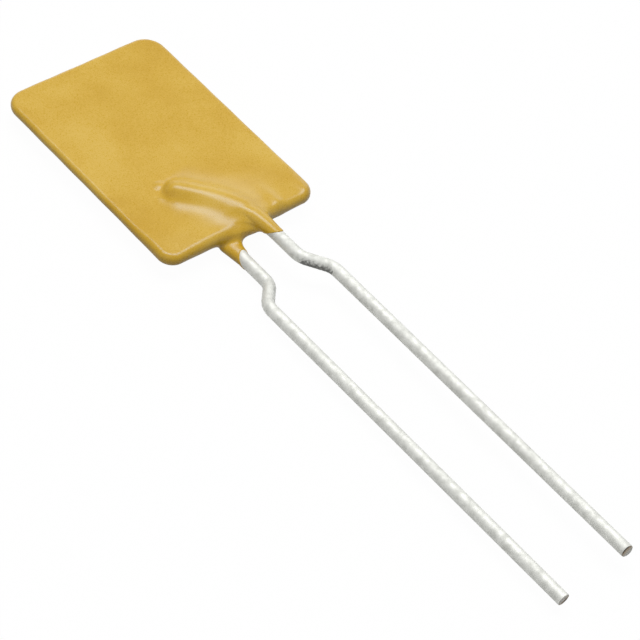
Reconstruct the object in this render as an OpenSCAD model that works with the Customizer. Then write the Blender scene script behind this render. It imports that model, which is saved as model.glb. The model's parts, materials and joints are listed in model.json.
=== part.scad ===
// Resettable fuse: a thin chip of conductive polymer between two foil electrodes,
// a round wire soldered to each face, and a dipped epoxy coat over the whole chip.
// The fuse lies on its back. +X runs along the leads to their cut ends, +Y across
// the chip, and +Z up through its front face. The back half is the front half
// turned half a turn about the long middle line of the chip.

/* [Chip] */
// Width of the chip across the leads
chip_w = 10.7; // [6:0.1:20]
// Length of the chip along the leads
chip_l = 15.8; // [9:0.1:26]
// Corner radius of the chip
chip_r = 0.75; // [0.3:0.05:2]
// Thickness of the conductive polymer sheet
polymer_t = 0.25; // [0.15:0.05:0.8]
// Thickness of each electrode foil
foil_t = 0.04; // [0.02:0.01:0.1]

/* [Leads] */
// Diameter of the lead wire
lead_d = 0.81; // [0.5:0.01:1.1]
// Distance between the straight legs
pitch = 5; // [4.6:0.01:8]
// Distance between the leads where they leave the coat
exit_pitch = 2.1; // [1.6:0.05:2.6]
// Angle of the soldered run to the long side of the chip
run_angle = 40; // [15:1:50]
// Length of the soldered run, measured to the corner of its bend
run_l = 5.3; // [4:0.1:8]
// Bend radius where the soldered run turns to the exit
exit_r = 7.9; // [3:0.1:9]
// Distance from the edge of the coat back to the corner of that bend
bend_in = 1.1; // [0:0.1:2]
// Distance from the edge of the coat to the kink
standoff = 3.3; // [3:0.1:8]
// Slope of the kink
kink_angle = 45; // [30:1:60]
// Bend radius of the kink
kink_r = 1.1; // [0.8:0.05:1.5]
// How far the kink brings a lead back towards the middle of the chip
kink_drop = 0.35; // [0:0.05:0.5]
// Length of the straight leg past the kink
leg_l = 25.3; // [5:0.1:40]

/* [Solder] */
// Thickness of the solder between wire and foil
solder_t = 0.05; // [0.03:0.01:0.1]
// Half width of the solder fillet
solder_w = 0.85; // [0.7:0.05:1.1]
// Distance from the end of the wire to the solder
solder_in = 0.15; // [0.1:0.05:0.5]
// Distance from the solder to the start of the bend
solder_back = 0.2; // [0.1:0.1:1]

/* [Coat] */
// Coat thickness over the faces of the chip
face_film = 0.17; // [0.12:0.01:0.6]
// Coat thickness past the edges of the chip
edge_film = 0.45; // [0.35:0.05:1]
// Coat thickness over the soldered wire
ridge_film = 0.17; // [0.12:0.01:0.5]
// Length of the ridge past the end of the wire
nose_l = 0.8; // [0.4:0.1:1.6]
// Fillet radius beside the soldered wire
ridge_fillet = 1.6; // [0.8:0.1:2.2]
// Extra height of the bead along the lead edge, on each face
bead_h = 0.2; // [0:0.02:0.4]
// Width of the bead along the lead edge
bead_w = 1.6; // [1:0.1:3]
// Length of the tapered horn on each lead
horn_l = 1.5; // [1.2:0.1:2.5]
// Coat thickness at the end of the horn
horn_film = 0.06; // [0.04:0.01:0.2]
// How much further the horn reaches on its outer side than on its inner side
horn_slant = 0.6; // [0:0.05:0.8]
// How much further the horn reaches on its face side than towards the middle of the chip
horn_rise = 0.8; // [0:0.05:1]
// Half width of the flare on the inner side, which makes the web between the leads
web_w = 2; // [1.4:0.1:2.6]
// Half width of the front horn's flare on its outer side
front_flare = 1.3; // [0.9:0.05:2]
// Half width of the back horn's flare on its outer side
back_flare = 1.8; // [0.9:0.05:2.2]
// How soon the front horn narrows
front_taper = 2.6; // [1.2:0.1:3]
// How soon the back horn narrows
back_taper = 1.3; // [1.2:0.1:3]

/* [Hidden] */
$fn = 48;

// Chip and coat
chip_t = polymer_t + 2 * foil_t;
coat_w = chip_w + 2 * edge_film;
coat_l = chip_l + 2 * edge_film;
coat_r = chip_r + edge_film;
coat_h = chip_t / 2 + face_film;
bead_top = coat_h + bead_h;

// Lead path in the plane of the chip
lead_r = lead_d / 2;
lead_z = chip_t / 2 + solder_t + lead_r;
pin_z = lead_z - kink_drop;
edge_x = coat_l / 2;
exit_y = exit_pitch / 2;
exit_tan = exit_r * tan(run_angle / 2);
run_straight = run_l - exit_tan;
corner_x = edge_x - bend_in;
run_start = [corner_x - run_l * cos(run_angle), exit_y - run_l * sin(run_angle)];
bend_x = corner_x + exit_tan;

// Kink: two bends and a slant, in a plane tilted towards the middle of the chip
kink_out = pitch / 2 - exit_y;
kink_shift = norm([kink_out, kink_drop]);
kink_tilt = atan2(kink_drop, kink_out);
kink_slant = (kink_shift - 2 * kink_r * (1 - cos(kink_angle))) / sin(kink_angle);
kink_l = 2 * kink_r * sin(kink_angle) + kink_slant * cos(kink_angle);

// Place of the chip's centre above the surface that the fuse lies on
tip_x = edge_x + standoff + kink_l + leg_l;
rest_h = lead_z + lead_r + ridge_film;
centre = [-(tip_x - edge_x) / 2, 0, rest_h];

// Ridge section: an arc round the wire that runs into a fillet on the face of the coat
ridge_r = lead_r + ridge_film;
toe_sink = 0.03;
skin_lap = 0.1;
face_z = coat_h - lead_z - toe_sink;
toe_n = sqrt(pow(ridge_r + ridge_fillet, 2) - pow(face_z + ridge_fillet, 2));
turn_a = atan2(face_z + ridge_fillet, toe_n);
turn_n = ridge_r * cos(turn_a);
skin_floor = -lead_z - skin_lap;

// Steps of the lofted skins
arc_steps = 4;
fillet_steps = 4;
side_steps = 2 * (arc_steps + fillet_steps);
floor_steps = 7;
ring_n = side_steps + 1 + floor_steps;

function clamp01(t) = min(max(t, 0), 1);
function smooth(t) = let (c = clamp01(t)) c * c * (3 - 2 * c);
function mix(a, b, t) = a + (b - a) * t;

// Fall of a round end of radius r at the distance d from its tip
function round_end(d, r) = d >= r ? 0 : r - sqrt(r * r - pow(r - d, 2));

// Closed faces of a skin through rings of n points each
function skin_faces(rings, n) = concat(
    [for (i = [0 : rings - 2], j = [0 : n - 1])
        let (k = (j + 1) % n) [i * n + j, (i + 1) * n + k, (i + 1) * n + j]],
    [for (i = [0 : rings - 2], j = [0 : n - 1])
        let (k = (j + 1) % n) [i * n + j, i * n + k, (i + 1) * n + k]],
    [for (j = [1 : n - 2]) [0, j + 1, j]],
    [for (j = [1 : n - 2]) (rings - 1) * n * [1, 1, 1] + [0, j, j + 1]]);

module skin(rings) {
    points = [for (ring = rings) each ring];
    polyhedron(points, skin_faces(len(rings), len(rings[0])));
}

// Coated plate: slot-shaped sections from the far edge to the lead edge
plate_arc = 8;
end_steps = 7;
tip_flat = 0.01;
bead_flat = bead_w / 3;
function bead(d) = bead_h * (1 - smooth((d - bead_flat) / (bead_w - bead_flat)));
function plate_half(d_far, d_near) =
    let (h = coat_h + bead(d_near))
    h - round_end(d_far, coat_h) * h / coat_h - round_end(d_near, bead_top) * h / bead_top;
function plate_ring(x) =
    let (d_far = x + edge_x + tip_flat,
         d_near = edge_x - x + tip_flat,
         t = plate_half(d_far, d_near),
         w = coat_w / 2 - round_end(d_far, coat_r) - round_end(d_near, coat_r))
    concat(
        [for (i = [0 : plate_arc]) let (a = 90 - 180 * i / plate_arc)
            [x, w - t + t * cos(a), t * sin(a)]],
        [for (i = [0 : plate_arc]) let (a = -90 - 180 * i / plate_arc)
            [x, -w + t + t * cos(a), t * sin(a)]]);

end_fall = [for (i = [0 : end_steps]) 1 - cos(90 * i / end_steps)];
far_d = [for (f = end_fall) f * coat_r];
near_span = max(coat_r, bead_w);
near_d = [for (i = [end_steps : -1 : 0]) end_fall[i] * near_span];
plate_x = concat([for (d = far_d) d - edge_x], [for (d = near_d) edge_x - d]);

module plate() {
    skin([for (x = plate_x) plate_ring(x)]);
}

// Point and heading on the middle line of the wire, at the length s from its soldered end
bend_s = run_straight + exit_r * run_angle * PI / 180;
function heading(s) =
    s <= run_straight ? run_angle :
    s >= bend_s ? 0 : run_angle - (s - run_straight) / exit_r * 180 / PI;
function wire_at(s) =
    let (bend_end = [bend_x, exit_y], h = heading(s))
    s <= run_straight ? run_start + s * [cos(run_angle), sin(run_angle)] :
    s >= bend_s ? bend_end + [s - bend_s, 0] :
    bend_end + exit_r * [-sin(h), cos(h) - 1];

// Height of the ridge section at the distance n from the wire
function ridge_z(n) =
    n <= turn_n ? sqrt(ridge_r * ridge_r - n * n) :
    n >= toe_n ? face_z :
    face_z + ridge_fillet - sqrt(pow(ridge_fillet, 2) - pow(toe_n - n, 2));

// Half of the section's sideways steps, from the wire to the toe of the fillet
half_n = concat(
    [for (i = [0 : arc_steps]) ridge_r * cos(mix(90, turn_a, i / arc_steps))],
    [for (i = [1 : fillet_steps])
        toe_n - ridge_fillet * cos(mix(turn_a, 90, i / fillet_steps))]);
across = concat([for (i = [len(half_n) - 1 : -1 : 1]) -half_n[i]], half_n);

// Length along the wire at a place x, at which the flare starts, and at which the horn ends
function length_at(x) = x >= bend_x ? bend_s + x - bend_x :
    bend_s - exit_r * asin((bend_x - x) / exit_r) * PI / 180;
flare_s = length_at(edge_x) - coat_h;
horn_s = length_at(edge_x + horn_l);
function flare(s, taper) =
    let (t = clamp01((s - flare_s) / (horn_s - flare_s)))
    1 - pow(1 - t, taper);

// Sideways reach of the section: the fillet, spread to the web and flare near the edge
function spread(s, n, outer_w) =
    let (near = smooth(1 + (s - flare_s) / web_w))
    mix(toe_n, n < 0 ? web_w : outer_w, near) / toe_n;

// One ring of the coat along the wire: ridge section that turns into a circle on the horn
function horn_ring(s, outer_w, taper) =
    let (back = max(-s, 0) * toe_n / nose_l,
         nose = sqrt(1 - pow(min(back / toe_n, 1), 2)),
         m = flare(s, taper),
         h = heading(s),
         p = wire_at(s),
         ring_r = lead_r + mix(ridge_film, horn_film, m),
         ridge = [for (n = across)
             let (reach = abs(n) > turn_n ? spread(s, n, outer_w) : 1)
             [n * nose * reach, ridge_z(norm([n * nose, back]))]],
         wide_l = ridge[0].x,
         wide_r = ridge[side_steps].x,
         mid_z = (face_z + skin_floor) / 2,
         floor_pts = [[wide_r, mid_z], [wide_r, skin_floor], [wide_r / 2, skin_floor],
                      [0, skin_floor], [wide_l / 2, skin_floor], [wide_l, skin_floor],
                      [wide_l, mid_z]],
         section = concat(ridge, floor_pts))
    [for (i = [0 : ring_n - 1])
        let (a = 90 + (side_steps / 2 - i) * 360 / ring_n,
             n = mix(section[i].x, ring_r * cos(a), m),
             z = mix(section[i].y, ring_r * sin(a), m),
             ahead = m / 2 * (horn_slant * n + horn_rise * z) / lead_r)
        [p.x + ahead * cos(h) - n * sin(h), p.y + ahead * sin(h) + n * cos(h), z + lead_z]];

nose_steps = 5;
run_steps = 6;
horn_steps = 12;
ring_s = concat(
    [for (i = [0 : nose_steps - 1]) -nose_l * cos(mix(12, 90, i / nose_steps))],
    [for (i = [0 : run_steps - 1]) mix(0, flare_s, i / run_steps)],
    [for (i = [0 : horn_steps]) mix(flare_s, horn_s, i / horn_steps)]);

module horn(outer_w, taper) {
    skin([for (s = ring_s) horn_ring(s, outer_w, taper)]);
}

// Lead: a swept wire through the soldered run, the exit and the kink, and a round leg
sweep_sides = 24;
exit_steps = 4;
kink_steps = 5;
leg_lap = 0.4;
sweep_play = 0.005;
sweep_r = lead_r - sweep_play;
kink_dir = [0, cos(kink_tilt), -sin(kink_tilt)];
kink_at = [edge_x + standoff, exit_y, lead_z];
leg_at = [edge_x + standoff + kink_l, pitch / 2, pin_z];

// Places on the middle line: each is a point and the angle of its heading
run_places = [for (s = [0, for (i = [0 : exit_steps]) mix(run_straight, bend_s, i / exit_steps)])
    [[wire_at(s).x, wire_at(s).y, lead_z], [cos(heading(s)), sin(heading(s)), 0]]];
function kink_place(along, out, a) =
    [kink_at + [along, 0, 0] + out * kink_dir, cos(a) * [1, 0, 0] + sin(a) * kink_dir];
kink_places = [for (side = [0, 1], i = [0 : kink_steps])
    let (a = kink_angle * (side == 0 ? i : kink_steps - i) / kink_steps,
         along = kink_r * sin(a),
         out = kink_r * (1 - cos(a)))
    side == 0 ? kink_place(along, out, a) : kink_place(kink_l - along, kink_shift - out, a)];
lead_places = concat(run_places, kink_places, [[leg_at + [leg_lap, 0, 0], [1, 0, 0]]]);

function wire_ring(place) =
    let (ahead = place[1], left = cross([0, 0, 1], ahead) / norm(cross([0, 0, 1], ahead)),
         up = cross(ahead, left))
    [for (i = [0 : sweep_sides - 1]) let (a = -360 * i / sweep_sides)
        place[0] + sweep_r * (cos(a) * left + sin(a) * up)];

module lead() {
    skin([for (place = lead_places) wire_ring(place)]);
    translate(leg_at) rotate([0, 90, 0]) cylinder(h = leg_l, r = lead_r);
}

// Solder fillet: a hollow-sided section along the wire
solder_toe = 0.03;
hollow_r = solder_w - lead_r;
solder_h = lead_r;
solder_l = run_straight - solder_in - solder_back;
module solder_section() {
    difference() {
        square([solder_w, solder_h]);
        translate([solder_w, solder_toe + hollow_r]) circle(r = hollow_r);
    }
}

module solder_blank() {
    translate([run_start.x, run_start.y, chip_t / 2]) rotate([0, 0, run_angle])
        translate([solder_in, 0, 0]) rotate([90, 0, 90]) linear_extrude(solder_l) {
            solder_section();
            mirror([1, 0]) solder_section();
        }
}

// Rounded rectangle of the chip's outline
module chip_outline() {
    difference() {
        square([chip_l, chip_w], center = true);
        for (sx = [-1, 1], sy = [-1, 1])
            translate([sx * chip_l / 2, sy * chip_w / 2])
                difference() {
                    square(2 * chip_r, center = true);
                    translate([-sx * chip_r, -sy * chip_r]) circle(r = chip_r);
                }
    }
}

module turned() {
    rotate([180, 0, 0]) children();
}

module placed() {
    translate(centre) children();
}

module chip_blank() {
    translate([0, 0, -chip_t / 2]) linear_extrude(chip_t) chip_outline();
}

module electrode() {
    translate([0, 0, polymer_t / 2]) linear_extrude(foil_t) chip_outline();
}

module solder() {
    difference() {
        solder_blank();
        lead();
    }
}

module polymer_core() {
    color([0.12, 0.12, 0.13]) placed()
        translate([0, 0, -polymer_t / 2]) linear_extrude(polymer_t) chip_outline();
}

module front_electrode() {
    color([0.72, 0.70, 0.66]) placed() electrode();
}

module back_electrode() {
    color([0.72, 0.70, 0.66]) placed() turned() electrode();
}

module front_solder() {
    color([0.66, 0.67, 0.69]) placed() solder();
}

module back_solder() {
    color([0.66, 0.67, 0.69]) placed() turned() solder();
}

module front_lead() {
    color([0.80, 0.80, 0.78]) placed() lead();
}

module back_lead() {
    color([0.80, 0.80, 0.78]) placed() turned() lead();
}

module coating() {
    color([0.84, 0.69, 0.28]) placed() difference() {
        union() {
            plate();
            horn(front_flare, front_taper);
            turned() horn(back_flare, back_taper);
        }
        chip_blank();
        solder_blank();
        turned() solder_blank();
        lead();
        turned() lead();
    }
}

polymer_core();
front_electrode();
back_electrode();
front_solder();
back_solder();
front_lead();
back_lead();
coating();
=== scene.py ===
"""Dresses a resettable fuse: its dipped coat, its tinned leads and the stage that it is seen on."""

import json
import math

import bpy
import numpy as np
from bpy.props import FloatProperty, FloatVectorProperty, IntProperty, PointerProperty
from mathutils import Matrix, Vector


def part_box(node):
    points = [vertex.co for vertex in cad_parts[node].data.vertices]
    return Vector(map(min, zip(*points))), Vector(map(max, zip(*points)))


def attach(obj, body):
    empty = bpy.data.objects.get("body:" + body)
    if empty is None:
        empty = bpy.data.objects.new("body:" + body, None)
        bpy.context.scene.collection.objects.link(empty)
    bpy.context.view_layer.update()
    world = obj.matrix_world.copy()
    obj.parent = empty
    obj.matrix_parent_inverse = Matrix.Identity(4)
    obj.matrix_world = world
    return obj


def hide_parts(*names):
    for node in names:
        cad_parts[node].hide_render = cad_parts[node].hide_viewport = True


bl_info = {
    "name": "Resettable Fuse",
    "version": (1, 0, 0),
    "blender": (4, 5, 0),
    "location": "View3D > Sidebar > Fuse",
    "description": "Coat, leads and stage of a dipped resettable fuse",
    "category": "Add Mesh",
}

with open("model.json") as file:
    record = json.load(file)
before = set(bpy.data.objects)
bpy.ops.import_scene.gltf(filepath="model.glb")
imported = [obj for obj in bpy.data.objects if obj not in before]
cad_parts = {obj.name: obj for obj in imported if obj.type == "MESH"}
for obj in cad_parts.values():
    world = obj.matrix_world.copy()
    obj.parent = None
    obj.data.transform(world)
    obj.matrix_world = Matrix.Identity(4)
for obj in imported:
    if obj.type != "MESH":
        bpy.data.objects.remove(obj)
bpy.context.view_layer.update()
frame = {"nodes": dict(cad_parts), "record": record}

MM = 0.001
LENGTH_DIGITS = 5
PHOTO_PIXELS = 640
SENSOR = 36.0
CLIP_START = 0.01

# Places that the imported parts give
CHIP_LOW, CHIP_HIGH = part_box("polymer_core")
COAT_LOW, COAT_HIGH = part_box("coating")
CHIP_MID = (CHIP_LOW + CHIP_HIGH) / 2
FRONT_PIN = frame["record"]["mounts"][0]
LEAD_RADIUS = FRONT_PIN["dims"]["r_mm"] * MM
LEG_LENGTH = FRONT_PIN["dims"]["length_mm"] * MM
LEG_START = FRONT_PIN["pos_m"][0] - LEG_LENGTH / 2 - CHIP_MID.x
LEG_SIDE = FRONT_PIN["pos_m"][1]
LEG_RISE = FRONT_PIN["pos_m"][2] - CHIP_MID.z
EDGE_X = CHIP_MID.x - COAT_LOW.x
HALF_WIDTH = COAT_HIGH.y - CHIP_MID.y
RIDGE_TOP = COAT_HIGH.z - CHIP_MID.z
FOIL_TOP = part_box("front_solder")[0].z - CHIP_MID.z

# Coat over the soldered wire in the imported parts
RIDGE_COVER = 0.17 * MM

# Waves in the dipped coat: share, radians per metre along and across, and start
OUTLINE_WAVES = ((0.25, 2100, 900, 0), (0.25, 0, 2900, 1.3))
FACE_WAVES = ((1, 520, 310, 0.6), (0.7, -240, 690, 2.1), (0.4, 980, 0, 1.2))
OUTLINE_REST = 0.5
WAVE_INSET = 0.5

# Shares that shape the bead, the fillets, the nose and the horns
BEAD_PARTS = 3
FACE_BLEND = 0.5
HIDDEN_FILLET = 0.1
NOSE_AHEAD = 0.25
LEAN_LIMIT = 1.2

# Skin of the coat: grid steps around it, rounds that settle its points, and how its slope is measured
SKIN_MARGIN = 3.3
SKIN_ROUNDS = 4
REACH_PARTS = 20
SLOPE_FLOOR = 0.05

# Marks of the forming tool and the painted dark reflection on the kink, as parts of the kink, and the side
# of the wire that the painted reflection lies on
MARK_EASE = 6
MARK_POWER = 3
DARK_REFLECTION_EASE_IN = 5
DARK_REFLECTION_DELAY = 0.5
DARK_REFLECTION_EASE_OUT = 12
DARK_REFLECTION_SIDE = math.radians(205)

# Rings of a cut end: share of the wire's radius, distance from the tip and share of the cut face
TIP_RINGS = np.array([
    (1.000, 0.160 * MM, 0.0),
    (0.995, 0.070 * MM, 0.0),
    (0.970, 0.020 * MM, 0.4),
    (0.910, 0.000 * MM, 1.0),
    (0.780, 0.000 * MM, 1.0),
    (0.500, 0.003 * MM, 1.0),
    (0.200, 0.004 * MM, 1.0),
])
TIP_GAP = 0.3 * MM
SHEAR_FADE = 0.2 * MM
BLADE_SIDE = math.radians(126)
CUT_MIDDLE = 0.75
CUT_REACH = 0.25

# Solder joint: turn of its hollow flank, points on that flank and rings along the wire
SOLDER_TURN = math.radians(80)
SOLDER_POINTS = 8
SOLDER_RINGS = 24

# Noise of the finishes: scale, detail and roughness
EPOXY_PATCHES = (260, 3, 0.55)
EPOXY_GRAIN = (16000, 2, 0.5)
EPOXY_PEEL = (1300, 2, 0.5)
TIN_STREAKS = (9000, 3, 0.5)
TIN_PATCHES = (2600, 3, 0.5)
# Grain of the painted dark reflection on the kink
DARK_REFLECTION_GRAIN = (7000, 3, 0.5)
PLAIN_GRAIN = (4000, 3, 0.5)

# Lowest and highest value of a pattern, and what they become
NOISE_SPAN = (0.3, 0.7)
# The next two shape the grain and the edge of the painted dark reflection on the kink
DARK_REFLECTION_GRAIN_SPAN = (0.35, 0.65)
DARK_REFLECTION_SPAN = (0.15, 0.85)
CUT_SPAN = (0.25, 0.5)
PATCH_TONE = (0.2, 0.8)
SPECK_TONE = (-0.3, 0.3)
# Tone of the grain in the painted dark reflection on the kink
DARK_REFLECTION_GRAIN_TONE = (-0.45, 0.45)
EPOXY_SCATTER = (-0.05, 0.06)
TIN_SCATTER = (0.08, -0.06)
TIN_METAL = (0.75, 0.1)

# Places of the colours on a ramp
EPOXY_STOPS = (0.15, 0.50, 0.85)
TIN_STOPS = (0.32, 0.60)
CUT_STOPS = (0.5, 0.58, 0.66, 0.82)
PLAIN_STOPS = (0.35, 0.65)
RAMP_MIDDLE = 0.5

# Bumps of the finishes: strength and depth
GRAIN_BUMP = (0.04, 0.01 * MM)
PEEL_BUMP = (0.06, 0.03 * MM)
STREAK_BUMP = (0.15, 0.01 * MM)
PATCH_BUMP = (0.18, 0.02 * MM)
PLAIN_BUMP = (0.2, 0.01 * MM)

# Other values of the finishes
EPOXY_IOR = 1.6
STREAK_SCALE = (0.12, 1, 1)
PLAIN_DARK = 0.8
FLOOR_ROUGHNESS = 0.9
WHITE_LEVEL = 1.0

# Sockets of a Mix node that mixes colours
MIX_FIRST = 6
MIX_SECOND = 7
MIX_RESULT = 2


def size(name, description, value):
    """A length in metres that a user may change."""
    return FloatProperty(
        name=name, description=description, default=value, unit="LENGTH", precision=LENGTH_DIGITS
    )


def angle(name, description, degrees):
    """An angle that a user may change, written in degrees."""
    return FloatProperty(name=name, description=description, default=math.radians(degrees), subtype="ANGLE")


def colour(name, description, rgb):
    """A linear colour that a user may change."""
    return FloatVectorProperty(
        name=name, description=description, default=rgb, subtype="COLOR", size=3, min=0, max=1
    )


def factor(name, description, value):
    """A plain number from 0 to 1 that a user may change."""
    return FloatProperty(name=name, description=description, default=value, min=0, max=1, subtype="FACTOR")


class LeadSettings(bpy.types.PropertyGroup):
    """Route and finish of the two wires."""

    exit_side: size("Exit offset", "Distance of a lead from the middle line at the coat", 1.05 * MM)
    run_angle: angle("Run angle", "Angle of the soldered run to the long side", 40)
    run_length: size("Run length", "Soldered run, up to the corner of its bend", 5.3 * MM)
    exit_radius: size("Exit radius", "Bend between soldered run and exit", 7.9 * MM)
    bend_in: size("Bend inset", "From the edge of the coat back to the corner of that bend", 1.1 * MM)
    standoff: size("Standoff", "From the edge of the coat to the kink", 3.3 * MM)
    kink_angle: angle("Kink angle", "Slope of the kink", 45)
    kink_radius: size("Kink radius", "Bend radius of the kink", 1.1 * MM)
    mark_depth: size("Tool marks", "Depth of the forming tool's marks on the kink", 0.025 * MM)
    mark_pitch: size("Tool mark pitch", "Distance between those marks", 0.22 * MM)
    end_inset: size("End inset", "Distance of the rounded end from the end of the soldered run", 0.45 * MM)
    end_round: size("End round", "Rounding of the soldered end", 0.3 * MM)
    front_short: size("Front short", "How much shorter the front lead is cut than the back one", 0.24 * MM)
    shear: size("Shear", "Slope of the cut end over the wire's width", 0.08 * MM)
    sides: IntProperty(name="Sides", description="Faces round a wire", default=40, min=8, max=96)
    step: size("Step", "Distance between the rings of a wire", 0.055 * MM)
    tin: colour("Tin", "Colour of the tin plate", (0.74, 0.745, 0.71))
    tin_dull: colour("Dull tin", "Colour of the duller patches", (0.66, 0.665, 0.63))
    cut_dark: colour("Cut rim", "Colour of the dark rim on the cut end", (0.045, 0.030, 0.022))
    cut_tan: colour("Cut face", "Colour of the cut face", (0.80, 0.64, 0.45))
    cut_pale: colour("Cut edge", "Colour of the cut face at its pale side", (0.92, 0.91, 0.86))
    # Share of the painted dark reflection that the back lead takes
    back_dark_reflection: factor("Back rub", "How much the back lead is rubbed, beside the front one", 0.5)
    # Colour of the dark reflection painted on the kink
    dark_reflection: colour("Worn tin", "Colour of the patch that the forming tool has rubbed", (0.22, 0.22, 0.21))
    roughness: factor("Roughness", "Roughness of the tin plate", 0.70)


class CoatSettings(bpy.types.PropertyGroup):
    """Shape and finish of the dipped coat."""

    half_thick: size("Half thickness", "Half of the coated plate's thickness", 0.335 * MM)
    far_corner: size("Far corner", "Corner radius away from the leads", 1.4 * MM)
    near_corner: size("Near corner", "Corner radius beside the leads", 1.1 * MM)
    near_inset: size("Near inset", "How far the edge beside the leads lies back", 0.05 * MM)
    bead_height: size("Bead height", "Extra height of the bead along the lead edge", 0.2 * MM)
    bead_width: size("Bead width", "Width over which the plate thickens to the lead edge", 4.5 * MM)
    cover: size("Cover", "Coat over the soldered wire", 0.134 * MM)
    end_cover: size("End cover", "Coat over the end of the soldered wire", 0.07 * MM)
    bead_full: size("Bead full", "Half width over which the bead keeps its height", 2.4 * MM)
    bead_drop: factor("Bead drop", "Share of the bead's height that it loses at the corners", 0.55)
    lump_height: size("Lump height", "Height of the two lumps in the bead", 0.14 * MM)
    lump_width: size("Lump width", "Half width of those lumps", 0.36 * MM)
    lump_inner: size("Inner lump", "Distance of the first lump from the middle line", 2.85 * MM)
    lump_outer: size("Outer lump", "Distance of the second lump from the middle line", 5.15 * MM)
    nose_start: size("Nose start", "Place of the ridge's end, along the wire", 0.15 * MM)
    nose_slope: FloatProperty(
        name="Nose slope", description="How far the ridge's end leans back for its height",
        default=0.5, min=0, max=2,
    )
    nose_round: size("Nose round", "Rounding of the ridge's end", 0.45 * MM)
    ridge_fillet: size("Ridge fillet", "Reach of the fillet beside the soldered wire", 1.65 * MM)
    far_fillet: size("Far fillet", "Reach of that fillet on the outer side of the wire", 2.25 * MM)
    nose_length: size("Nose length", "Length over which the fillet grows at the wire's end", 1.7 * MM)
    nose_fillet: size("Nose fillet", "Reach of that fillet at the wire's end", 0.35 * MM)
    ridge_slope: FloatProperty(
        name="Ridge slope", description="How much lower than wide the fillet is", default=2.3, min=1, max=4
    )
    ridge_spread: FloatProperty(
        name="Ridge spread", description="How much wider than high the ridge is", default=1.25, min=1, max=2
    )
    pimple_ahead: size("Pimple offset", "Distance of the pimple from the end of the wire", 0.14 * MM)
    pimple_rise: size("Pimple rise", "Height of the pimple's foot above the middle of the chip", 0.385 * MM)
    pimple_side: size("Pimple side", "Distance of the pimple to the left of the wire", 0.08 * MM)
    pimple_width: size("Pimple width", "Half width of that pimple", 0.29 * MM)
    pimple_height: size("Pimple height", "Height of that pimple's dome", 0.045 * MM)
    pimple_lean: angle("Pimple lean", "Lean of the pimple to the right of the wire", 13.6)
    front_fillet: size("Front fillet", "Fillet on the outer side of the front horn", 1.38 * MM)
    back_fillet: size("Back fillet", "Fillet on the outer side of the back horn", 0.58 * MM)
    front_web: size("Front web", "Fillet of the front horn towards the back one", 1.4 * MM)
    back_web: size("Back web", "Fillet of the back horn towards the front one", 1.0 * MM)
    web_bulge: size("Web bulge", "How far the edge bulges out in the web", 0.04 * MM)
    web_side: size("Web side", "Distance of that bulge from the middle line, to the front lead", 0.55 * MM)
    web_width: size("Web width", "Half width of that bulge", 0.45 * MM)
    front_hang: factor("Front hang", "How much wider the fillet is under the front horn", 0.6)
    front_swell: factor("Front swell", "How much wider the front horn's root is on its outer side", 0.58)
    back_swell: factor("Back swell", "How much wider the back horn's root is on its outer side", 1.0)
    top_crease: factor("Top crease", "How much tighter the fillet is on the face side of a horn", 0.55)
    horn_length: size("Horn length", "Tapered coat on each lead, at its middle", 1.385 * MM)
    horn_film: size("Horn film", "Coat at the end of the horn", 0.04 * MM)
    horn_slant: size("Horn slant", "Further reach of the horn on its outer side", 0.27 * MM)
    horn_rise: size("Horn rise", "Further reach of the horn on its face side", 0.87 * MM)
    wave: size("Wave", "Height of the slow waves in the dipped face", 0.008 * MM)
    wobble: size("Wobble", "Depth of the slow waves in the outline", 0.03 * MM)
    step: size("Step", "Spacing of the grid that the skin is drawn on", 0.07 * MM)
    gold: colour("Gold", "Main colour of the epoxy", (0.668, 0.405, 0.0205))
    gold_deep: colour("Deep gold", "Colour of the darker patches", (0.603, 0.345, 0.0035))
    gold_pale: colour("Pale gold", "Colour of the paler patches", (0.728, 0.470, 0.0580))
    gloss: colour("Gloss", "Tint of the epoxy's gloss", (0.50, 0.72, 1.0))
    roughness: factor("Roughness", "Roughness of the epoxy", 0.31)


class ChipSettings(bpy.types.PropertyGroup):
    """Finish of the pieces under the coat."""

    polymer: colour("Polymer", "Carbon-filled polymer", (0.018, 0.018, 0.020))
    foil: colour("Foil", "Nickel foil", (0.60, 0.57, 0.52))
    solder: colour("Solder", "Dull solder", (0.55, 0.56, 0.58))
    solder_start: size("Solder start", "Distance from the end of the wire to the solder", 0.45 * MM)
    solder_back: size("Solder back", "Distance from the solder to the start of the bend", 0.2 * MM)
    solder_half: size("Solder width", "Half width of the solder at the foil", 0.85 * MM)
    solder_toe: size("Solder toe", "Height of the solder's thin edge", 0.03 * MM)


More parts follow.
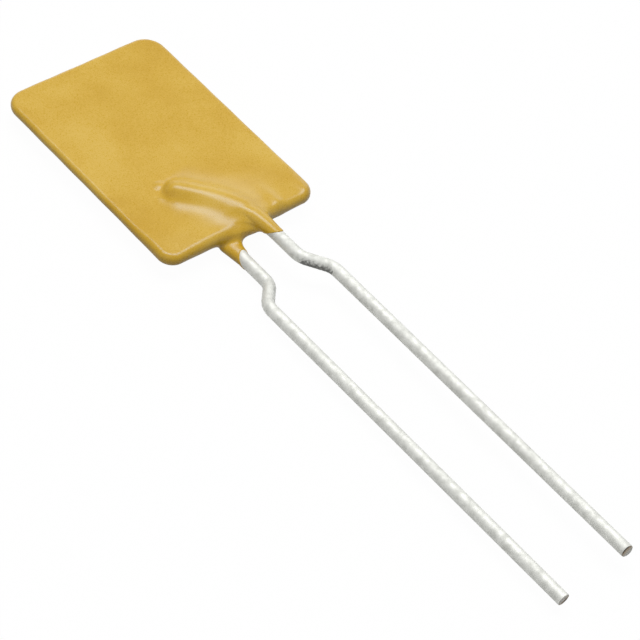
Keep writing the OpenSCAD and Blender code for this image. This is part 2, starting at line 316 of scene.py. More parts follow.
class StageSettings(bpy.types.PropertyGroup):
    """Camera, lamps and floor."""

    azimuth: angle("Azimuth", "Side that the camera stands on", -49.402)
    elevation: angle("Elevation", "Height of the camera's view", 46.412)
    roll: angle("Roll", "Turn of the camera about its own view", 12.689)
    distance: size("Distance", "From the camera to its aim", 172.52 * MM)
    aim_along: size("Aim along", "Aim of the camera along the leads, from the chip's middle", 16.274 * MM)
    aim_across: size("Aim across", "Aim of the camera across the leads", -0.763 * MM)
    focal_pixels: FloatProperty(
        name="Focal length", description="Focal length in pixels of the square picture", default=2956.3
    )
    floor_size: size("Floor size", "Width of the floor", 4.0)
    floor_colour: colour("Floor", "Colour of the floor in the light it gives back", (0.12, 0.12, 0.118))
    floor_seen: colour("Floor seen", "Colour of the floor to the camera and mirrors", (0.96, 0.96, 0.96))
    floor_glow: factor("Floor glow", "Share of plain white that the camera sees in the floor", 0.975)
    floor_mirrored: factor("Floor mirrored", "Share of plain white that mirrors see in the floor", 0.4)
    sky: FloatProperty(name="Sky", description="Strength of the light from all round", default=0.17)
    room: FloatProperty(name="Room", description="Strength of the room that mirrors see", default=0.75)
    key_power: FloatProperty(
        name="Key power", description="Power of the long soft lamp overhead", default=1.0, subtype="POWER"
    )
    key_length: size("Key length", "Length of the lamp overhead", 0.34)
    key_width: size("Key width", "Width of the lamp overhead", 0.16)
    key_turn: angle("Key turn", "Heading of the lamp overhead", 48)
    key_place: FloatVectorProperty(
        name="Key place", description="Place of the lamp overhead", default=(-0.08, 0.07, 0.35),
        subtype="TRANSLATION",
    )
    fill_power: FloatProperty(
        name="Fill power", description="Power of the wide lamp at the side", default=0.42, subtype="POWER"
    )
    fill_size: size("Fill size", "Width of the lamp at the side", 0.36)
    fill_place: FloatVectorProperty(
        name="Fill place", description="Place of the lamp at the side", default=(0.10, -0.28, 0.24),
        subtype="TRANSLATION",
    )
    back_power: FloatProperty(
        name="Back power", description="Power of the low lamp behind", default=0.34, subtype="POWER"
    )
    back_length: size("Back length", "Length of the low lamp behind", 0.55)
    back_width: size("Back width", "Height of the low lamp behind", 0.22)
    back_turn: angle("Back turn", "Heading of the low lamp behind", 41)
    back_place: FloatVectorProperty(
        name="Back place", description="Place of the low lamp behind", default=(-0.33, 0.38, 0.17),
        subtype="TRANSLATION",
    )


def smooth_step(t):
    """Rises from 0 to 1 as t does, level at both ends: 3 t squared less 2 t cubed."""
    c = np.clip(t, 0, 1)
    return c * c * (3 - 2 * c)


def mix(a, b, t):
    """Straight mix of a and b."""
    return a + (b - a) * t


def soft_union(a, b, width):
    """Lower of two distances, less a quarter of width times the square of how nearly they agree."""
    near = np.maximum(width - np.abs(a - b), 0) / width
    return np.minimum(a, b) - near * near * width / 4


def soft_overlap(a, b, width):
    """Higher of two distances, rounded off in the same way."""
    return -soft_union(-a, -b, width)


class WireRoute:
    """Middle line of the front wire over the chip: a slanted run, an arc and a straight exit."""

    def __init__(self, lead):
        """Corner of the bend first, then back along the run to its start and on to the end of the arc."""
        self.turn = lead.run_angle
        self.radius = lead.exit_radius
        self.height = RIDGE_TOP - RIDGE_COVER - LEAD_RADIUS
        self.exit_side = lead.exit_side
        tangent = self.radius * math.tan(self.turn / 2)
        corner = EDGE_X - lead.bend_in
        self.run = lead.run_length - tangent
        self.start_x = corner - lead.run_length * math.cos(self.turn)
        self.start_y = self.exit_side - lead.run_length * math.sin(self.turn)
        self.bend_x = corner + tangent
        self.bend_end = self.run + self.radius * self.turn

    def length_at(self, x):
        """Length along the wire at a place past the run: on the arc, or on the straight exit."""
        if x >= self.bend_x:
            return self.bend_end + x - self.bend_x
        return self.bend_end - self.radius * math.asin((self.bend_x - x) / self.radius)

    def along_and_side(self, x, y):
        """Length along the wire and signed distance to its left, by the nearest of run, arc and exit."""
        c, s = math.cos(self.turn), math.sin(self.turn)
        dx, dy = x - self.start_x, y - self.start_y
        run_along = np.minimum(dx * c + dy * s, self.run)
        run_side = dy * c - dx * s
        run_gap = np.hypot(dx - run_along * c, dy - run_along * s)
        ax, ay = x - self.bend_x, y - (self.exit_side - self.radius)
        heading = np.clip(np.arctan2(-ax, ay), 0, self.turn)
        arc_along = self.run + (self.turn - heading) * self.radius
        arc_side = np.hypot(ax, ay) - self.radius
        arc_gap = np.hypot(ax + self.radius * np.sin(heading), ay - self.radius * np.cos(heading))
        exit_along = np.maximum(x - self.bend_x, 0)
        exit_side = y - self.exit_side
        exit_gap = np.hypot(x - self.bend_x - exit_along, exit_side)
        use_run = (run_gap <= arc_gap) & (run_gap <= exit_gap)
        use_arc = ~use_run & (arc_gap <= exit_gap)
        along = np.where(use_run, run_along, np.where(use_arc, arc_along, self.bend_end + exit_along))
        side = np.where(use_run, run_side, np.where(use_arc, arc_side, exit_side))
        return along, side


def wave_sum(waves, x, y):
    """Sum of waves: each is its share times the sine of its turns along and across plus its start."""
    return sum(share * np.sin(x * along + y * across + start) for share, along, across, start in waves)


def plate_distance(coat, x, y, z):
    """Distance to the coated plate: a rounded rectangle with full-round edges, thicker along the lead
    edge, with slow waves in its faces and its outline."""
    corner = np.where(x > 0, coat.near_corner, coat.far_corner)
    qx = np.abs(x) - EDGE_X + np.where(x > 0, coat.near_inset, 0) + corner
    qy = np.abs(y) - HALF_WIDTH + corner
    outline = np.hypot(np.maximum(qx, 0), np.maximum(qy, 0)) + np.minimum(np.maximum(qx, qy), 0) - corner
    outline = outline + coat.wobble * (OUTLINE_REST + wave_sum(OUTLINE_WAVES, x, y))
    bulge = coat.web_bulge * np.exp(-(((y - coat.web_side) / coat.web_width) ** 2))
    outline = outline - np.where(x > 0, bulge, 0)
    flat = coat.bead_width / BEAD_PARTS
    bead = coat.bead_height * (1 - smooth_step((EDGE_X - x - flat) / (coat.bead_width - flat)))
    aside = smooth_step((np.abs(y) - coat.bead_full) / (HALF_WIDTH - coat.bead_full))
    half = coat.half_thick + bead * (1 - coat.bead_drop * aside)
    across = (EDGE_X - x) / flat
    for lump in (coat.lump_inner, coat.lump_outer):
        half = half + coat.lump_height * np.exp(-(((y - lump) / coat.lump_width) ** 2) - across**2)
    waves = coat.wave * wave_sum(FACE_WAVES, x, y)
    half = half + waves * smooth_step(-outline / coat.near_corner - WAVE_INSET)
    return np.hypot(np.maximum(outline + half, 0), z) - half


def ridge_distance(coat, route, horn, x, y, z):
    """Distance to the coat round the front wire, with a slanted nose and a slanted end, and the reach of
    its fillet: wide on the face and between the horns, narrow on the outer and the hidden side of the
    horn. The tube's radius falls to the film at the horn's end with the square of what is left. Past the
    plate's middle the distance grows by the depth, so that the ridge doesn't lift the other face."""
    outer_fillet, web_fillet, swell, hang = horn
    along, side = route.along_and_side(x, y)
    rise = z - route.height
    horn_end = route.length_at(EDGE_X + coat.horn_length)
    flare_start = route.length_at(EDGE_X) - coat.half_thick
    t = np.clip((along - flare_start) / (horn_end - flare_start), 0, 1)
    cover = mix(coat.end_cover, coat.cover, smooth_step(along / coat.nose_length))
    radius = LEAD_RADIUS + mix(cover, coat.horn_film, 1 - (1 - t) ** 2)
    at_exit = smooth_step((x - EDGE_X) / coat.horn_length + 1)
    stretch = 1 + swell * (1 - t) * at_exit
    stretch = mix(coat.ridge_spread, np.where(side > 0, stretch, 1), at_exit)
    tube = np.hypot(side / stretch, rise) - radius
    before = (coat.nose_start + rise * coat.nose_slope - along) / math.hypot(1, coat.nose_slope)
    tube = soft_overlap(tube, before, coat.nose_round)
    tube = tube + np.maximum(-z, 0) * (1 - at_exit) * coat.ridge_slope
    lean = np.clip(side / LEAD_RADIUS, -LEAN_LIMIT, LEAN_LIMIT) * coat.horn_slant
    lean = lean + np.clip(rise / LEAD_RADIUS, -LEAN_LIMIT, LEAN_LIMIT) * coat.horn_rise
    slope = math.hypot(1, coat.horn_slant / 2 / LEAD_RADIUS, coat.horn_rise / 2 / LEAD_RADIUS)
    past_end = (along - horn_end - lean / 2) / slope
    inner = smooth_step((1 - side / LEAD_RADIUS) / 2)
    on_top = smooth_step(rise / LEAD_RADIUS)
    under = smooth_step(-rise / LEAD_RADIUS)
    past_edge = mix(outer_fillet, web_fillet, inner) * (1 - coat.top_crease * on_top + hang * under * inner)
    on_face = mix(coat.far_fillet, coat.ridge_fillet, inner)
    on_face = mix(coat.nose_fillet, on_face, smooth_step(along / coat.nose_length + NOSE_AHEAD))
    seen = smooth_step((z / coat.half_thick + FACE_BLEND) / (2 * FACE_BLEND))
    on_face = on_face * mix(HIDDEN_FILLET, 1, seen)
    fillet = mix(on_face, past_edge, at_exit)
    return soft_overlap(tube, past_end, coat.horn_film * 2), fillet


def pimple_distance(coat, route, x, y, z):
    """Height over the low pimple past the end of the soldered wire: a bowl-shaped top, less the square of
    the distance from its middle, that leans off the wire's right side."""
    c, s = math.cos(route.turn), math.sin(route.turn)
    dx, dy = x - route.start_x, y - route.start_y
    along, side = dx * c + dy * s + coat.pimple_ahead, dy * c - dx * s - coat.pimple_side
    dome = coat.pimple_height * (1 - (along**2 + side**2) / coat.pimple_width**2)
    top = coat.pimple_rise + side * math.tan(coat.pimple_lean) + dome
    return np.maximum(z - top, -z)


def coat_distance(coat, route, x, y, z):
    """Soft union of the plate, the front ridge, the same ridge turned over for the back, and a pimple on
    each. The plate's distance counts ridge_slope times, which makes the fillets lower than wide."""
    skin = plate_distance(coat, x, y, z) * coat.ridge_slope
    front = (coat.front_fillet, coat.front_web, coat.front_swell, coat.front_hang)
    back = (coat.back_fillet, coat.back_web, coat.back_swell, 0)
    for turn, horn in ((1, front), (-1, back)):
        ridge, fillet = ridge_distance(coat, route, horn, x, y * turn, z * turn)
        skin = soft_union(skin, ridge, fillet)
    for turn in (1, -1):
        pimple = pimple_distance(coat, route, x, y * turn, z * turn)
        skin = soft_union(skin, pimple, coat.pimple_height)
    return skin


def level_skin(distance, low, high, step):
    """Skin where a distance is nought: one point for each grid cell that the skin crosses, at the mean of
    its crossings with the cell's edges, and one quad for each grid edge that the skin crosses."""
    axes = [np.arange(lo, hi + step, step) for lo, hi in zip(low, high)]
    grid = np.meshgrid(*axes, indexing="ij")
    value = distance(*grid)
    cells = np.array(value.shape) - 1
    total = np.zeros((*cells, 3))
    count = np.zeros(cells)
    quads = []
    for axis in range(3):
        lower = np.moveaxis(value, axis, 0)[:-1]
        upper = np.moveaxis(value, axis, 0)[1:]
        crossing = (lower < 0) != (upper < 0)
        share = np.where(crossing, lower / np.where(crossing, lower - upper, 1), 0)
        quads.append((axis, crossing, lower < 0))
        b, c = [k for k in range(3) if k != axis]
        shape = crossing.shape
        for db in (0, 1):
            for dc in (0, 1):
                cut = (slice(None), slice(db, shape[1] - 1 + db), slice(dc, shape[2] - 1 + dc))
                hit = np.moveaxis(crossing[cut], 0, axis)
                part = np.moveaxis(share[cut], 0, axis)
                count += hit
                total[..., axis] += np.where(hit, part, 0)
                total[..., b] += np.where(hit, db, 0)
                total[..., c] += np.where(hit, dc, 0)
    active = count > 0
    index = np.full(cells, -1)
    index[active] = np.arange(active.sum())
    origin = np.stack([a[0] for a in axes])
    points = origin + step * (np.argwhere(active) + total[active] / count[active][:, None])
    faces = []
    for axis, crossing, inside in quads:
        b, c = [k for k in range(3) if k != axis]
        table = np.moveaxis(index, axis, 0)
        inner = crossing[:, 1:-1, 1:-1]
        i, j, k = np.nonzero(inner)
        loop = np.stack([table[i, j, k], table[i, j + 1, k], table[i, j + 1, k + 1], table[i, j, k + 1]], 1)
        flip = inside[:, 1:-1, 1:-1][i, j, k] ^ (axis == 1)
        faces.append(np.where(flip[:, None], loop, loop[:, ::-1]))
    return points, np.concatenate(faces)


def skin_slope(distance, points, reach):
    """Slope of a distance at points: its change over a small reach on both sides, along each axis."""
    shifts = np.eye(3) * reach
    ups = [distance(*(points + shift).T) - distance(*(points - shift).T) for shift in shifts]
    return np.stack(ups, 1) / (2 * reach)


def drawn_to_skin(distance, points, rounds, reach):
    """Moves points onto the skin: each goes against the slope by its distance over the slope's square."""
    for _ in range(rounds):
        slope = skin_slope(distance, points, reach)
        share = distance(*points.T) / np.maximum((slope**2).sum(1), SLOPE_FLOOR)
        points = points - slope * share[:, None]
    return points


def placed(points, turn):
    """Points in the frame: those about the chip's middle, turned half round the long axis by turn -1."""
    return points.reshape(-1, 3) * (1, turn, turn) + np.array(CHIP_MID)


def mesh_piece(name, points, faces, material, replaced):
    """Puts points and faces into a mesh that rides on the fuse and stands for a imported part."""
    mesh = bpy.data.meshes.new(name)
    mesh.from_pydata(points.tolist(), [], faces)
    mesh.polygons.foreach_set("use_smooth", np.ones(len(mesh.polygons), bool))
    mesh.materials.append(material)
    mesh.update()
    piece = bpy.data.objects.new(name, mesh)
    bpy.context.scene.collection.objects.link(piece)
    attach(piece, "root")
    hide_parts(replaced)
    return piece


class NodeSheet:
    """Shorthand for the nodes of a material or world: each call adds nodes and links their inputs."""

    def __init__(self, owner):
        """Opens the nodes of a world, or of a new material by that name."""
        if isinstance(owner, str):
            owner = self.material = bpy.data.materials.new(owner)
            owner.use_nodes = True
        self.tree = owner.node_tree
        self.shader = self.tree.nodes.get("Principled BSDF")

    def add(self, kind, values=None, links=None, **settings):
        """Adds one node with its settings, the values of its inputs and the links to them."""
        node = self.tree.nodes.new(kind)
        for key, value in settings.items():
            setattr(node, key, value)
        for key, value in (values or {}).items():
            node.inputs[key].default_value = value
        for key, source in (links or {}).items():
            self.tree.links.new(source, node.inputs[key])
        return node

    def place(self):
        """Object coordinates, which are the fuse's own frame."""
        return self.add("ShaderNodeTexCoord").outputs["Object"]

    def attribute(self, name):
        """Number that the mesh holds at its points under a name."""
        return self.add("ShaderNodeAttribute", attribute_name=name).outputs["Fac"]

    def noise(self, place, scale, detail, roughness):
        """Noise pattern with its value between 0 and 1."""
        values = {"Scale": scale, "Detail": detail, "Roughness": roughness}
        return self.add("ShaderNodeTexNoise", values, {"Vector": place}).outputs["Fac"]

    def combine(self, operation, first, second):
        """Sum, product or highest of two numbers, by the name of the operation."""
        return self.add("ShaderNodeMath", links={0: first, 1: second}, operation=operation).outputs[0]

    def rays(self):
        """Whether a ray comes from the camera, and whether from a mirror or through glass."""
        kinds = self.add("ShaderNodeLightPath").outputs
        mirrored = self.combine("MAXIMUM", kinds["Is Glossy Ray"], kinds["Is Transmission Ray"])
        return kinds["Is Camera Ray"], mirrored

    def ramp(self, source, stops, colours):
        """Colour ramp through the given colours at the given places."""
        node = self.add("ShaderNodeValToRGB", links={"Fac": source})
        elements = node.color_ramp.elements
        while len(elements) < len(stops):
            elements.new(RAMP_MIDDLE)
        for element, position, rgb in zip(elements, stops, colours):
            element.position = position
            element.color = (*rgb, 1)
        return node.outputs["Color"]

    def blend(self, share, first, second):
        """Mix of two colours by the second one's share."""
        links = {"Factor": share, MIX_FIRST: first, MIX_SECOND: second}
        return self.add("ShaderNodeMix", links=links, data_type="RGBA").outputs[MIX_RESULT]

    def blend_to(self, share, first, rgb):
        """Mix of a colour pattern and one plain colour by the plain one's share."""
        values = {MIX_SECOND: (*rgb, 1)}
        links = {"Factor": share, MIX_FIRST: first}
        return self.add("ShaderNodeMix", values, links, data_type="RGBA").outputs[MIX_RESULT]

    def span(self, source, low, high, to_low, to_high):
        """Maps one range of numbers to another."""
        values = {"From Min": low, "From Max": high, "To Min": to_low, "To Max": to_high}
        return self.add("ShaderNodeMapRange", values, {"Value": source}).outputs["Result"]

    def bump(self, height, strength, depth, normal=None):
        """Bump from a height, over an earlier bump if there is one."""
        values = {"Strength": strength, "Distance": depth}
        links = {"Height": height}
        if normal is not None:
            links["Normal"] = normal
        return self.add("ShaderNodeBump", values, links).outputs["Normal"]

    def feed(self, **sources):
        """Links pattern outputs to the shader's sockets."""
        for key, source in sources.items():
            self.tree.links.new(source, self.shader.inputs[key.replace("_", " ")])

    def fix(self, **values):
        """Sets the shader's own sockets."""
        for key, value in values.items():
            self.shader.inputs[key.replace("_", " ")].default_value = value


def epoxy_material(coat):
    """Semi-gloss dipped epoxy: slow patches of tone, fine grain and a faint orange peel."""
    sheet = NodeSheet("dipped_epoxy")
    place = sheet.place()
    patches = sheet.span(sheet.noise(place, *EPOXY_PATCHES), *NOISE_SPAN, *PATCH_TONE)
    grain = sheet.noise(place, *EPOXY_GRAIN)
    speckled = sheet.combine("ADD", patches, sheet.span(grain, *NOISE_SPAN, *SPECK_TONE))
    peel = sheet.noise(place, *EPOXY_PEEL)
    scatter = [coat.roughness + more for more in EPOXY_SCATTER]
    sheet.feed(
        Base_Color=sheet.ramp(speckled, EPOXY_STOPS, (coat.gold_deep, coat.gold, coat.gold_pale)),
        Roughness=sheet.span(grain, *NOISE_SPAN, *scatter),
        Normal=sheet.bump(grain, *GRAIN_BUMP, sheet.bump(peel, *PEEL_BUMP)),
    )
    sheet.fix(IOR=EPOXY_IOR, Specular_Tint=(*coat.gloss, 1))
    return sheet.material


def tin_material(lead):
    """Satin tin plate: drawn streaks, dull patches, a painted dark reflection on the kink, and a tan cut
    face with a dark rim.
    """
    sheet = NodeSheet("tinned_wire")
    place = sheet.place()
    stretched = sheet.add("ShaderNodeMapping", {"Scale": STREAK_SCALE}, {"Vector": place}).outputs["Vector"]
    streaks = sheet.noise(stretched, *TIN_STREAKS)
    patches = sheet.noise(place, *TIN_PATCHES)
    tone = sheet.ramp(patches, TIN_STOPS, (lead.tin_dull, lead.tin))
    # Painted dark reflection on the kink: a grainy dark grey patch that stands in for the dark surroundings
    # the kink mirrors
    dark_reflection = sheet.attribute("dark_reflection")
    reflection_grain = sheet.span(sheet.noise(place, *DARK_REFLECTION_GRAIN), *DARK_REFLECTION_GRAIN_SPAN, *DARK_REFLECTION_GRAIN_TONE)
    painted_dark = sheet.combine("MULTIPLY", sheet.combine("ADD", dark_reflection, reflection_grain), dark_reflection)
    tinned = sheet.blend_to(sheet.span(painted_dark, *DARK_REFLECTION_SPAN, 0, 1), tone, lead.dark_reflection)
    cut = sheet.attribute("cut")
    face = sheet.ramp(cut, CUT_STOPS, (lead.cut_dark, lead.cut_dark, lead.cut_tan, lead.cut_pale))
    scatter = [lead.roughness + more for more in TIN_SCATTER]
    sheet.feed(
        Base_Color=sheet.blend(sheet.span(cut, *CUT_SPAN, 0, 1), tinned, face),
        Roughness=sheet.span(patches, *NOISE_SPAN, *scatter),
        Metallic=sheet.span(cut, *CUT_SPAN, *TIN_METAL),
        Normal=sheet.bump(streaks, *STREAK_BUMP, sheet.bump(patches, *PATCH_BUMP)),
    )
    return sheet.material


def plain_material(name, rgb, metallic, roughness):
    """Finish of an inner piece, with a fine grain in its tone and surface."""
    sheet = NodeSheet(name)
    grain = sheet.noise(sheet.place(), *PLAIN_GRAIN)
    darker = [c * PLAIN_DARK for c in rgb]
    sheet.feed(
        Base_Color=sheet.ramp(grain, PLAIN_STOPS, (darker, rgb)),
        Normal=sheet.bump(grain, *PLAIN_BUMP),
    )
    sheet.fix(Metallic=metallic, Roughness=roughness)
    return sheet.material


def wire_middle(lead, route):
    """Points along the middle of the front wire, from its soldered end to its cut end, and for each the
    share of the kink that it has passed."""
    run = np.arange(lead.end_inset, route.bend_end, lead.step)
    heading = np.clip(route.turn - np.maximum(run - route.run, 0) / route.radius, 0, route.turn)
    c, s = math.cos(route.turn), math.sin(route.turn)
    on_run = run <= route.run
    x = np.where(on_run, route.start_x + run * c, route.bend_x - route.radius * np.sin(heading))
    y = np.where(on_run, route.start_y + run * s, route.exit_side + route.radius * (np.cos(heading) - 1))
    first = np.stack([x, y, np.full_like(x, route.height)], 1)
    out_y, out_z = LEG_SIDE - route.exit_side, LEG_RISE - route.height
    shift = math.hypot(out_y, out_z)
    rise = lead.kink_radius * (1 - math.cos(lead.kink_angle))
    bow = lead.kink_radius * math.sin(lead.kink_angle)
    kink_length = 2 * bow + (shift - 2 * rise) / math.tan(lead.kink_angle)
    ahead = np.arange(route.bend_x, LEG_START + LEG_LENGTH, lead.step)
    along = np.clip(ahead - EDGE_X - lead.standoff, 0, kink_length)
    back = kink_length - along
    start_arc = lead.kink_radius - np.sqrt(lead.kink_radius**2 - np.minimum(along, bow) ** 2)
    end_arc = lead.kink_radius - np.sqrt(lead.kink_radius**2 - np.minimum(back, bow) ** 2)
    ramp = rise + (along - bow) * math.tan(lead.kink_angle)
    out = np.where(along < bow, start_arc, np.where(back < bow, shift - end_arc, ramp)) / shift
    second = np.stack([ahead, route.exit_side + out * out_y, route.height + out * out_z], 1)
    passed = np.concatenate([np.zeros(len(first)), along / kink_length])
    return np.concatenate([first, second]), passed


def wire_points(lead, middle, passed, cut_back):
    """Rings square to the middle line, with marks of the forming tool on the kink, then the rim and the
    slanted face of the cut end. The second result is 0 on the wire, and 0.5 to 1 down the cut face. The
    third is the share of the dark reflection that is painted on one side of the kink."""
    ahead = np.gradient(middle, axis=0)
    ahead /= np.linalg.norm(ahead, axis=1)[:, None]
    left = np.cross([0, 0, 1], ahead)
    left /= np.linalg.norm(left, axis=1)[:, None]
    up = np.cross(ahead, left)
    turn = np.arange(lead.sides) * 2 * math.pi / lead.sides
    round_way = np.cos(turn)[None, :, None] * left[:, None] + np.sin(turn)[None, :, None] * up[:, None]
    travel = np.arange(len(middle)) * lead.step
    marked = smooth_step(passed * MARK_EASE) * smooth_step((1 - passed) * MARK_EASE)
    grip = (1 + np.cos(2 * math.pi * travel / lead.mark_pitch)) / 2
    flank = np.abs(np.cos(turn)) ** MARK_POWER
    # Painted dark reflection: on one side of the wire, over the kink
    painted_dark_side = np.clip(np.cos(turn - DARK_REFLECTION_SIDE), 0, 1)
    painted_dark = smooth_step(passed * DARK_REFLECTION_EASE_IN - DARK_REFLECTION_DELAY) * smooth_step((1 - passed) * DARK_REFLECTION_EASE_OUT)
    blunt = lead.end_round - np.minimum(travel, lead.end_round)
    rounded = lead.end_round - np.sqrt(lead.end_round**2 - blunt**2)
    radius = LEAD_RADIUS - rounded[:, None] - lead.mark_depth * (marked * grip)[:, None] * flank
    rings = middle[:, None] + radius[..., None] * round_way
    share, inset, on_tip = TIP_RINGS.T
    tip_x = LEG_START + LEG_LENGTH - cut_back
    blade = np.cos(turn - BLADE_SIDE)
    slant = lead.shear / 2 * (1 + blade) * smooth_step(1 - inset / SHEAR_FADE)[:, None]
    end_x = tip_x - inset[:, None] - slant
    end_y = LEG_SIDE + LEAD_RADIUS * share[:, None] * np.cos(turn)
    end_z = LEG_RISE + LEAD_RADIUS * share[:, None] * np.sin(turn)
    end = np.stack([end_x, end_y, end_z], -1)
    kept = rings[middle[:, 0] < tip_x - TIP_GAP]
    points = np.concatenate([kept, end])
    on_face = np.concatenate([np.zeros(len(kept)), on_tip])
    depth = np.concatenate([np.zeros((len(kept), lead.sides)), share[:, None] * blade])
    cut = on_face[:, None] * (CUT_MIDDLE - CUT_REACH * depth)
    # Share of the painted dark reflection on each ring of the wire
    dark_reflection = np.zeros(cut.shape)
    dark_reflection[: len(kept)] = (painted_dark[:, None] * painted_dark_side)[: len(kept)]
    return points, cut, dark_reflection


def wire_faces(rings, sides):
    """Quads between neighbouring rings, and one face over each end."""
    i = np.arange(rings - 1)[:, None]
    j = np.arange(sides)[None, :]
    k = (j + 1) % sides
    corners = (i * sides + j, i * sides + k, (i + 1) * sides + k, (i + 1) * sides + j)
    wall = np.stack(np.broadcast_arrays(*corners), -1).reshape(-1, 4).tolist()
    last = (rings - 1) * sides
    return wall + [list(range(sides - 1, -1, -1)), list(range(last, last + sides))]


def solder_points(chip, route):
    """Rings of the solder joint: a flat foot and, on each side, a hollow quarter arc up to the middle of
    the wire, carried along the straight run."""
    turn = np.linspace(0, SOLDER_TURN, SOLDER_POINTS)
    hollow = chip.solder_half - LEAD_RADIUS
    arc_side = chip.solder_half - hollow * np.sin(turn)
    arc_rise = chip.solder_toe + hollow * (1 - np.cos(turn))
    foot = np.array([chip.solder_half])
    side = np.concatenate([foot, arc_side, -arc_side[::-1], -foot])
    rise = np.concatenate([foot * 0, arc_rise, arc_rise[::-1], foot * 0])
    along = np.linspace(chip.solder_start, route.run - chip.solder_back, SOLDER_RINGS)[:, None]
    c, s = math.cos(route.turn), math.sin(route.turn)
    x = route.start_x + along * c - side * s
    y = route.start_y + along * s + side * c
    return np.stack([x, y, np.broadcast_to(FOIL_TOP + rise, x.shape)], -1)


class FUSE_OT_coat(bpy.types.Operator):
    """Makes the dipped coat with its ridges, bead, horns and web"""

    bl_idname = "fuse.coat"
    bl_label = "Dipped Coat"

    def execute(self, context):
        coat = context.scene.fuse_coat
        route = WireRoute(context.scene.fuse_lead)

        def distance(x, y, z):
            """Distance to this coat."""
            return coat_distance(coat, route, x, y, z)

        margin = SKIN_MARGIN * coat.step
        horn_x = COAT_HIGH.x - CHIP_MID.x
        low = (-EDGE_X - margin, -HALF_WIDTH - margin, -RIDGE_TOP - margin)
        high = (horn_x + margin, HALF_WIDTH + margin, RIDGE_TOP + margin)
        points, faces = level_skin(distance, low, high, coat.step)
        reach = coat.step / REACH_PARTS
        points = drawn_to_skin(distance, points, SKIN_ROUNDS, reach)
        slope = skin_slope(distance, points, reach)
        normals = slope / np.linalg.norm(slope, axis=1)[:, None]
        epoxy = epoxy_material(coat)
        skin = mesh_piece("coat_skin", placed(points, 1), faces.tolist(), epoxy, "coating")
        skin.data.normals_split_custom_set_from_vertices(normals.tolist())
        return {"FINISHED"}


class FUSE_OT_leads(bpy.types.Operator):
    """Makes the two tinned wires with their kinks and sheared ends"""

    bl_idname = "fuse.leads"
    bl_label = "Tinned Leads"

    def execute(self, context):
        lead = context.scene.fuse_lead
        tin = tin_material(lead)
        middle, passed = wire_middle(lead, WireRoute(lead))
        # The back lead takes a weaker painted dark reflection than the front one
        wires = (("front_lead", 1, 1, lead.front_short), ("back_lead", -1, lead.back_dark_reflection, 0))
        for name, turn, reflection_share, cut_back in wires:
            rings, cut, dark_reflection = wire_points(lead, middle, passed, cut_back)
            faces = wire_faces(len(rings), lead.sides)
            wire = mesh_piece(name + "_wire", placed(rings, turn), faces, tin, name)
            for title, share in (("cut", cut), ("dark_reflection", dark_reflection * reflection_share)):
                layer = wire.data.attributes.new(title, "FLOAT", "POINT")
                layer.data.foreach_set("value", share.ravel())
        return {"FINISHED"}


class FUSE_OT_solder(bpy.types.Operator):
    """Makes the two solder joints under the wires"""

    bl_idname = "fuse.solder"
    bl_label = "Solder Joints"

    def execute(self, context):
        chip = context.scene.fuse_chip
        metal = plain_material("dull_solder", chip.solder, metallic=1.0, roughness=0.5)
        rings = solder_points(chip, WireRoute(context.scene.fuse_lead))
        faces = wire_faces(*rings.shape[:2])
        for name, turn in (("front_solder", 1), ("back_solder", -1)):
            mesh_piece(name + "_joint", placed(rings, turn), faces, metal, name)
        return {"FINISHED"}


class FUSE_OT_chip(bpy.types.Operator):
    """Gives the pieces under the coat their finish"""

    bl_idname = "fuse.chip"
    bl_label = "Chip"

    def execute(self, context):
        chip = context.scene.fuse_chip
        finishes = {
            "polymer_core": plain_material("carbon_polymer", chip.polymer, metallic=0.0, roughness=0.7),
            "electrode": plain_material("nickel_foil", chip.foil, metallic=1.0, roughness=0.45),
        }
        for name, node in frame["nodes"].items():
            for ending, material in finishes.items():
                if name.endswith(ending):
                    node.data.materials.clear()
                    node.data.materials.append(material)
        return {"FINISHED"}


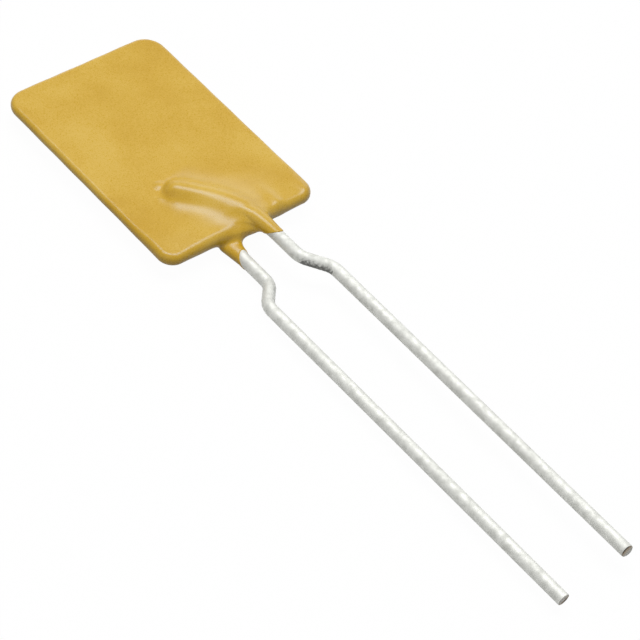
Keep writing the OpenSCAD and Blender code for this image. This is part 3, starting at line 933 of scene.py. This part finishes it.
class FUSE_OT_stage(bpy.types.Operator):
    """Sets the floor, the sky, the lamps and the camera"""

    bl_idname = "fuse.stage"
    bl_label = "Stage"

    def execute(self, context):
        stage = context.scene.fuse_stage
        self.floor(context, stage)
        self.sky(context, stage)
        key_size = (stage.key_length, stage.key_width)
        fill_size = (stage.fill_size, stage.fill_size)
        back_size = (stage.back_length, stage.back_width)
        self.lamp(context, "key", stage.key_power, key_size, stage.key_place, stage.key_turn)
        self.lamp(context, "back", stage.back_power, back_size, stage.back_place, stage.back_turn)
        fill = self.lamp(context, "fill", stage.fill_power, fill_size, stage.fill_place, 0)
        fill.visible_glossy = False
        self.camera(context, stage)
        context.scene.view_settings.view_transform = "Standard"
        return {"FINISHED"}

    def floor(self, context, stage):
        """Square floor: white to the camera and to mirrors, with the shadow that falls on it."""
        half = stage.floor_size / 2
        mesh = bpy.data.meshes.new("floor")
        corners = [(-half, -half, 0), (half, -half, 0), (half, half, 0), (-half, half, 0)]
        mesh.from_pydata(corners, [], [(0, 1, 2, 3)])
        sheet = NodeSheet("pale_floor")
        seen, mirrored = sheet.rays()
        shown = sheet.combine("MAXIMUM", seen, mirrored)
        sheet.feed(Base_Color=sheet.ramp(shown, (0, 1), (stage.floor_colour, stage.floor_seen)))
        sheet.fix(Roughness=FLOOR_ROUGHNESS)
        seen_share = sheet.span(seen, 0, 1, 0, stage.floor_glow)
        mirrored_share = sheet.span(mirrored, 0, 1, 0, stage.floor_mirrored)
        share = sheet.combine("MAXIMUM", seen_share, mirrored_share)
        glow = sheet.add("ShaderNodeEmission").outputs[0]
        mixed = sheet.add("ShaderNodeMixShader", links={0: share, 1: sheet.shader.outputs[0], 2: glow})
        sheet.tree.links.new(mixed.outputs[0], sheet.tree.nodes["Material Output"].inputs["Surface"])
        mesh.materials.append(sheet.material)
        floor = bpy.data.objects.new("floor", mesh)
        context.scene.collection.objects.link(floor)

    def sky(self, context, stage):
        """Even light from all round: white to the camera, and pale to mirrors."""
        world = bpy.data.worlds.new("studio")
        world.use_nodes = True
        sheet = NodeSheet(world)
        light = sheet.tree.nodes["Background"]
        light.inputs["Color"].default_value = (1, 1, 1, 1)
        seen, mirrored = sheet.rays()
        levels = {"A": stage.sky, "B": stage.room}
        lit = sheet.add("ShaderNodeMix", levels, {"Factor": mirrored}).outputs[0]
        level = sheet.add("ShaderNodeMix", {"B": WHITE_LEVEL}, {"Factor": seen, "A": lit}).outputs[0]
        sheet.tree.links.new(level, light.inputs["Strength"])
        context.scene.world = world

    def lamp(self, context, name, power, lamp_size, place, heading):
        """Soft lamp that faces the fuse, with its long side at the given heading."""
        light = bpy.data.lights.new(name, "AREA")
        light.energy = power
        light.shape = "RECTANGLE"
        light.size, light.size_y = lamp_size
        back = Vector(place).normalized()
        across = back.cross(Vector((math.cos(heading), math.sin(heading), 0))).normalized()
        turn = Matrix((across.cross(back), across, back)).transposed().to_4x4()
        lamp = bpy.data.objects.new(name, light)
        lamp.matrix_world = Matrix.Translation(place) @ turn
        context.scene.collection.objects.link(lamp)
        return lamp

    def camera(self, context, stage):
        """Camera at its distance from the aim, turned about its own view."""
        c, s = math.cos(stage.elevation), math.sin(stage.elevation)
        back = Vector((c * math.cos(stage.azimuth), c * math.sin(stage.azimuth), s))
        right = Vector((0, 0, 1)).cross(back).normalized()
        up = back.cross(right)
        turned_right = right * math.cos(stage.roll) + up * math.sin(stage.roll)
        turned_up = back.cross(turned_right)
        data = bpy.data.cameras.new("camera")
        data.sensor_width = SENSOR
        data.lens = stage.focal_pixels / PHOTO_PIXELS * SENSOR
        data.clip_start = CLIP_START
        camera = bpy.data.objects.new("camera", data)
        aim = CHIP_MID + Vector((stage.aim_along, stage.aim_across, 0))
        turn = Matrix((turned_right, turned_up, back)).transposed().to_4x4()
        camera.matrix_world = Matrix.Translation(aim + back * stage.distance) @ turn
        context.scene.collection.objects.link(camera)
        context.scene.camera = camera


class FUSE_PT_panel(bpy.types.Panel):
    """Lists the steps that dress the fuse"""

    bl_idname = "FUSE_PT_panel"
    bl_label = "Resettable Fuse"
    bl_space_type = "VIEW_3D"
    bl_region_type = "UI"
    bl_category = "Fuse"

    def draw(self, context):
        """One button for each step, in order."""
        for step in STEPS:
            self.layout.operator(step.bl_idname)


SETTINGS = {
    "fuse_lead": LeadSettings,
    "fuse_coat": CoatSettings,
    "fuse_chip": ChipSettings,
    "fuse_stage": StageSettings,
}
STEPS = (FUSE_OT_coat, FUSE_OT_leads, FUSE_OT_solder, FUSE_OT_chip, FUSE_OT_stage)
CLASSES = (*SETTINGS.values(), *STEPS, FUSE_PT_panel)


def register():
    """Registers the classes and hangs each group of settings on the scene."""
    for cls in CLASSES:
        bpy.utils.register_class(cls)
    for name, group in SETTINGS.items():
        setattr(bpy.types.Scene, name, PointerProperty(type=group))


def unregister():
    """Takes the settings and the classes away again."""
    for name in SETTINGS:
        delattr(bpy.types.Scene, name)
    for cls in reversed(CLASSES):
        bpy.utils.unregister_class(cls)


def main():
    """Makes every piece and the stage."""
    register()
    bpy.ops.fuse.coat()
    bpy.ops.fuse.leads()
    bpy.ops.fuse.solder()
    bpy.ops.fuse.chip()
    bpy.ops.fuse.stage()


if __name__ == "__main__":
    main()
